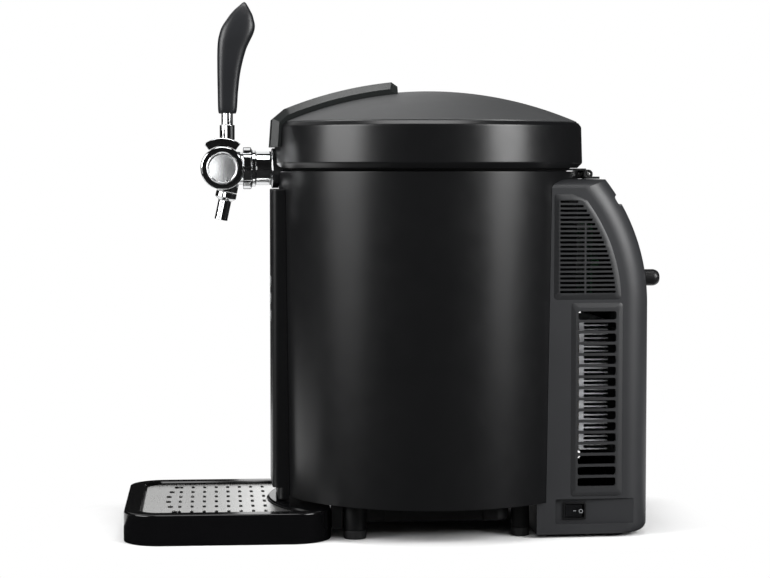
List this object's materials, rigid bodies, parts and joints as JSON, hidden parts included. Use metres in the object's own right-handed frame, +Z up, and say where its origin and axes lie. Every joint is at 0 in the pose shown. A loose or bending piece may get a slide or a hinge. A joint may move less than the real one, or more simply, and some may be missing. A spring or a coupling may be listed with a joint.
{
  "type": "mini keg beer dispenser",
  "caption": "Insulated round dispenser for a small keg: hinged domed lid, lever tap, pull-out drip tray and thermoelectric cooler housing behind.",
  "frame": {"origin": "middle of the footprint, on the surface that the feet stand on", "axes": "+X to the cooler housing at the back, -X to the tap and drip tray, +Y across, +Z up"},
  "size_m": [0.4288, 0.2524, 0.4283],
  "materials": {
    "satin_black_plastic": "satin black moulded and painted plastic",
    "charcoal_plastic": "fine-grained charcoal plastic",
    "dark_plastic": "matt black plastic",
    "gloss_black_plastic": "gloss black plastic",
    "handle_plastic": "soft-touch matt black",
    "button_grey": "mid-grey plastic",
    "chrome": "polished chrome plate",
    "brushed_steel": "brushed stainless steel",
    "aluminium": "plain aluminium",
    "insulation": "rigid foam",
    "rubber": "black rubber",
    "circuit_board": "green solder mask",
    "ceramic": "white alumina"
  },
  "bodies": {
    "cabinet": {"drum_shell": "satin_black_plastic", "keg_liner": "aluminium", "insulation_foam": "insulation", "top_ring": "satin_black_plastic", "base_plate": "satin_black_plastic", "foot_front_right": "rubber", "foot_front_left": "rubber", "foot_rear_right": "rubber", "foot_rear_left": "rubber", "front_panel": "satin_black_plastic", "display_window": "gloss_black_plastic", "display_board": "circuit_board", "rear_housing": "charcoal_plastic", "upper_grille_right": "dark_plastic", "upper_grille_left": "dark_plastic", "side_vent_right": "dark_plastic", "side_vent_left": "dark_plastic", "rear_grille": "dark_plastic", "switch_body": "dark_plastic", "power_inlet": "dark_plastic", "bumper_right": "rubber", "bumper_left": "rubber", "cold_block": "aluminium", "tec_module": "ceramic", "heat_sink": "aluminium", "fan_frame": "dark_plastic", "power_board": "circuit_board", "hinge_bracket": "charcoal_plastic", "hinge_pin": "brushed_steel", "faucet_body": "chrome", "faucet_cap_right": "chrome", "faucet_cap_left": "chrome", "spout": "chrome", "coupling_nut": "chrome", "tap_shank": "chrome", "shank_collar": "chrome", "shank_backnut": "brushed_steel", "hose_barb": "brushed_steel"},
    "lid": {"lid_shell": "satin_black_plastic", "lid_liner": "charcoal_plastic", "lid_foam": "insulation", "lid_gasket": "rubber", "lid_band": "charcoal_plastic", "lid_hinge_arm": "charcoal_plastic"},
    "lever": {"lever_saddle": "chrome", "valve_plug": "chrome", "lever_stem": "chrome", "tap_handle": "handle_plastic"},
    "tray": {"drip_tray": "gloss_black_plastic"},
    "plate": {"drip_plate": "brushed_steel"},
    "rocker": {"switch_rocker": "gloss_black_plastic"},
    "fan": {"fan_rotor": "dark_plastic"},
    "power_button": {"button_power": "button_grey"},
    "down_button": {"button_down": "button_grey"},
    "up_button": {"button_up": "button_grey"}
  },
  "joints": [
    {"name": "lid_hinge", "type": "hinge", "parent": "cabinet", "child": "lid", "pos_m": [0.1611, 0, 0.2886], "axis": [0, 1, 0], "range_deg": [0, 88]},
    {"name": "tap_lever", "type": "hinge", "parent": "cabinet", "child": "lever", "pos_m": [-0.1353, 0, 0.2934], "axis": [0, -1, 0], "range_deg": [0, 45]},
    {"name": "drip_tray_slide", "type": "slide", "parent": "cabinet", "child": "tray", "axis": [-1, 0, 0], "range_m": [0, 0.12]},
    {"name": "drip_plate_lift", "type": "slide", "parent": "tray", "child": "plate", "axis": [0, 0, 1], "range_m": [0, 0.1]},
    {"name": "power_switch", "type": "hinge", "parent": "cabinet", "child": "rocker", "pos_m": [0.1426, -0.07576, 0.0212], "axis": [0, 0, 1], "range_deg": [0, 16]},
    {"name": "fan_spin", "type": "hinge", "parent": "cabinet", "child": "fan", "pos_m": [0.1832, 0, 0.118], "axis": [1, 0, 0], "continuous": true},
    {"name": "power_button_press", "type": "slide", "parent": "cabinet", "child": "power_button", "axis": [1, 0, 0], "range_m": [0, 0.0008], "stiffness_N_per_m": 900},
    {"name": "down_button_press", "type": "slide", "parent": "cabinet", "child": "down_button", "axis": [1, 0, 0], "range_m": [0, 0.0008], "stiffness_N_per_m": 900},
    {"name": "up_button_press", "type": "slide", "parent": "cabinet", "child": "up_button", "axis": [1, 0, 0], "range_m": [0, 0.0008], "stiffness_N_per_m": 900}
  ]
}
